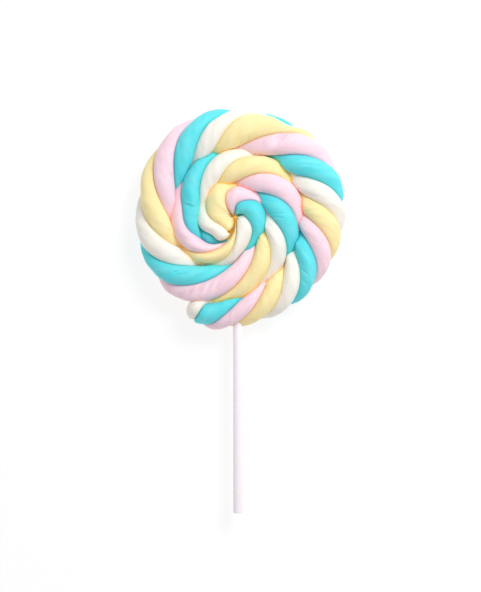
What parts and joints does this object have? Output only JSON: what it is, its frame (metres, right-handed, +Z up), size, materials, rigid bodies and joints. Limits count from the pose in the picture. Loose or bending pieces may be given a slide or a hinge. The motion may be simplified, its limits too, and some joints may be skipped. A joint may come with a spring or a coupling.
{
  "type": "marshmallow lollipop",
  "caption": "Twisted marshmallow rope in four pastel colours, wound into a flat spiral head on a plain paper stick, lying face up.",
  "frame": {"origin": "under the middle of the whole lollipop, on the surface that it lies on", "axes": "+Z up out of the patterned face, +Y from the stick's foot towards the head, +X to the right when the head is at the top"},
  "size_m": [0.1049, 0.2038, 0.022],
  "materials": {
    "marshmallow_white": "soft matt marshmallow, cream white",
    "marshmallow_turquoise": "soft matt marshmallow, pastel turquoise",
    "marshmallow_pink": "soft matt marshmallow, pale pink",
    "marshmallow_yellow": "soft matt marshmallow, pale yellow",
    "paper_stick": "smooth rolled paper, very pale pinkish white"
  },
  "bodies": {
    "root": {"strand_white": "marshmallow_white", "strand_turquoise": "marshmallow_turquoise", "strand_pink": "marshmallow_pink", "strand_yellow": "marshmallow_yellow", "stick": "paper_stick"}
  },
  "joints": []
}
